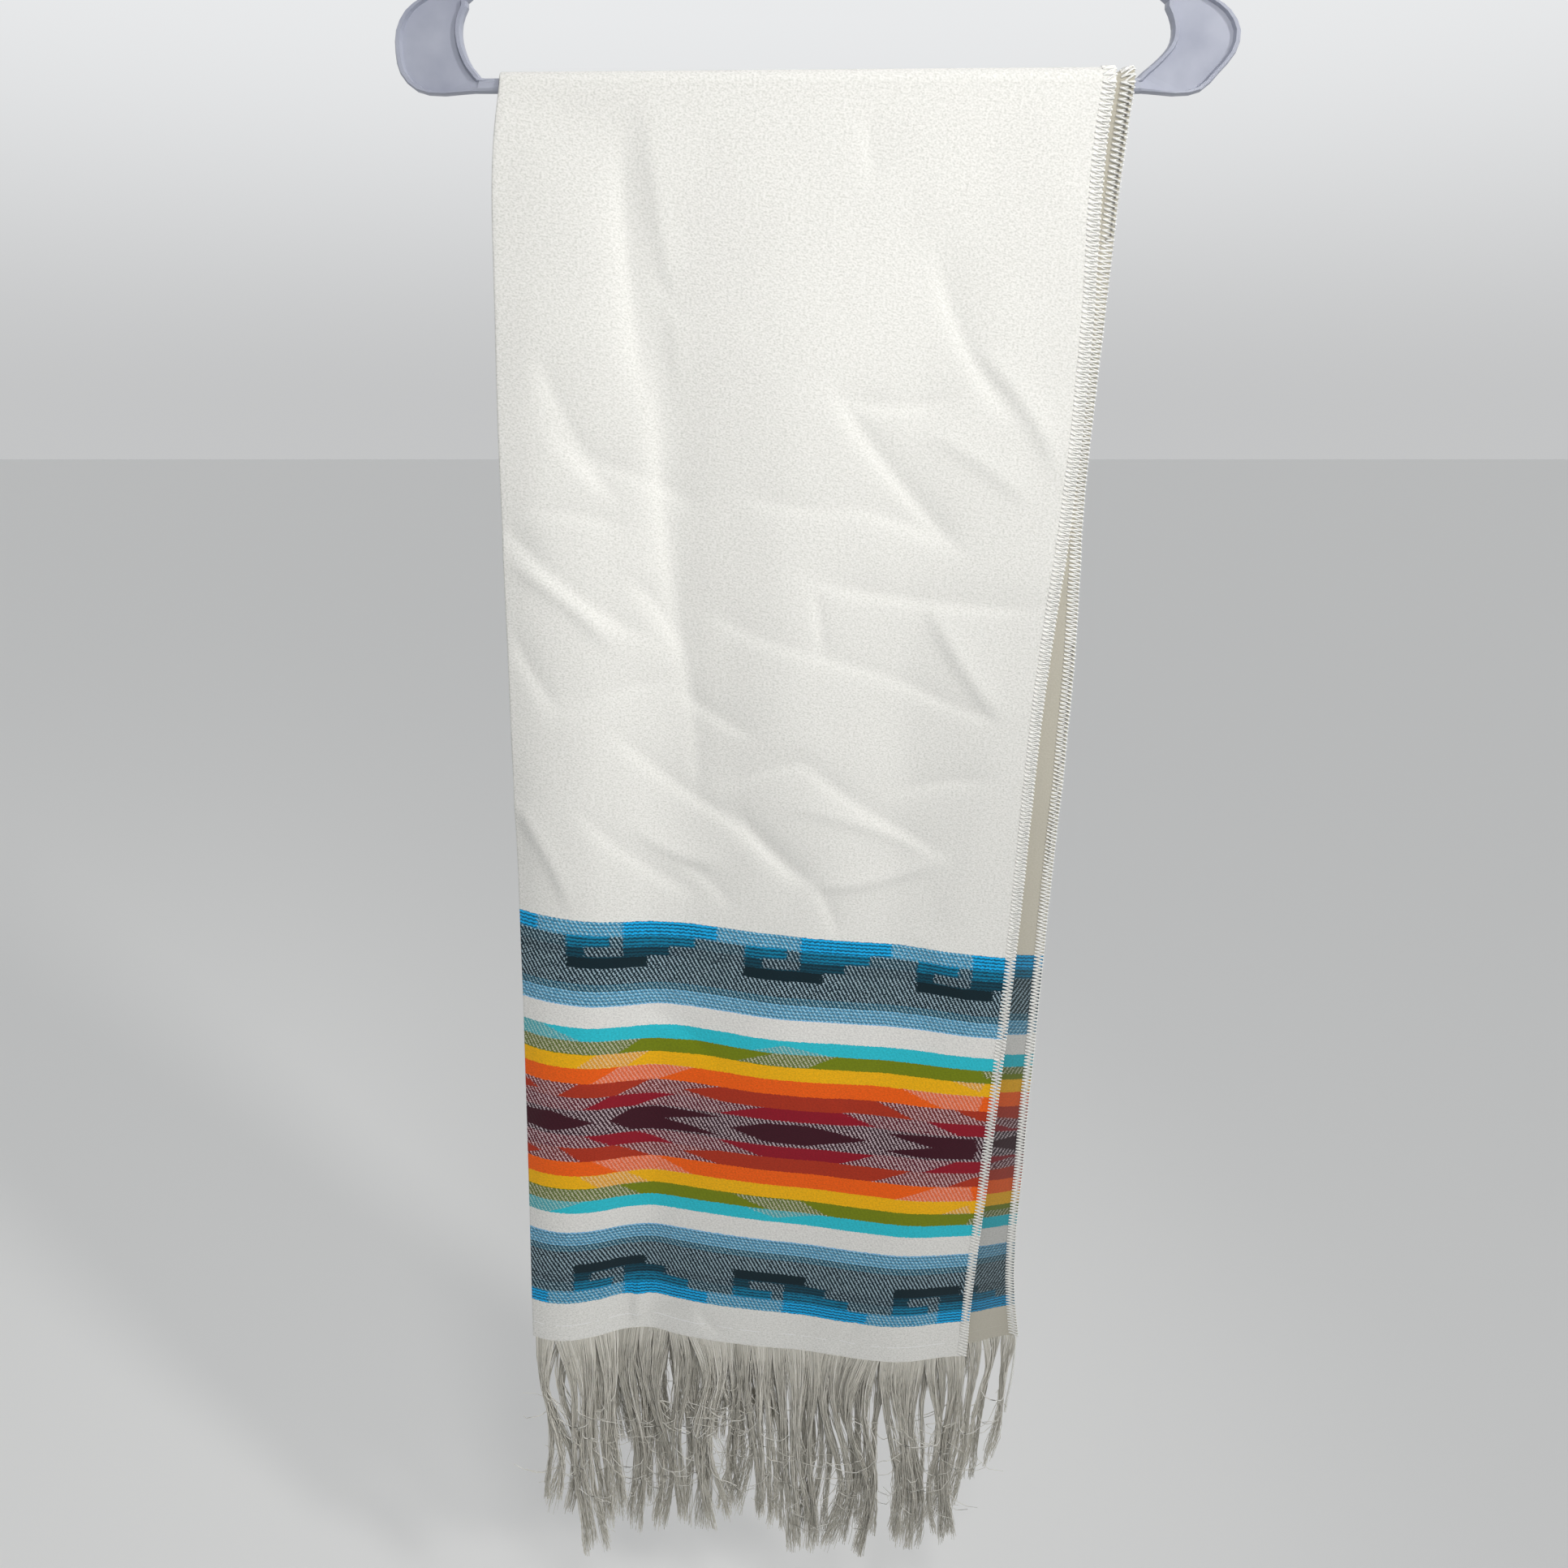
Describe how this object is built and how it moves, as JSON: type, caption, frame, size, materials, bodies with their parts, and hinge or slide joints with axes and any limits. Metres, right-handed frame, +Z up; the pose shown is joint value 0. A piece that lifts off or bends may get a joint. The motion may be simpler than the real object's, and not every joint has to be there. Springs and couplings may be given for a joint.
{
  "type": "rebozo shawl on a clothes hanger",
  "caption": "Cream woven shawl with a striped and stepped-fret band and loose fringe, folded lengthwise and hung over the bar of a moulded plastic hanger.",
  "frame": {"origin": "inside top of the hanger's hook, where a rail carries it", "axes": "+Z up, -Y out of the shawl's front, +X to the right seen from the front"},
  "size_m": [0.4262, 0.0569, 1.185],
  "materials": {
    "shawl_cloth": "matte crepe weave with a coloured woven band near each hem",
    "fringe_yarn": "loose crinkled warp yarn",
    "hanger_plastic": "smooth moulded plastic, soft shine"
  },
  "bodies": {
    "root": {"shawl_front": "shawl_cloth", "shawl_over_bar": "shawl_cloth", "shawl_back": "shawl_cloth", "fringe_front_outer": "fringe_yarn", "fringe_front_inner": "fringe_yarn", "fringe_back_inner": "fringe_yarn", "fringe_back_outer": "fringe_yarn", "hanger": "hanger_plastic"}
  },
  "joints": []
}
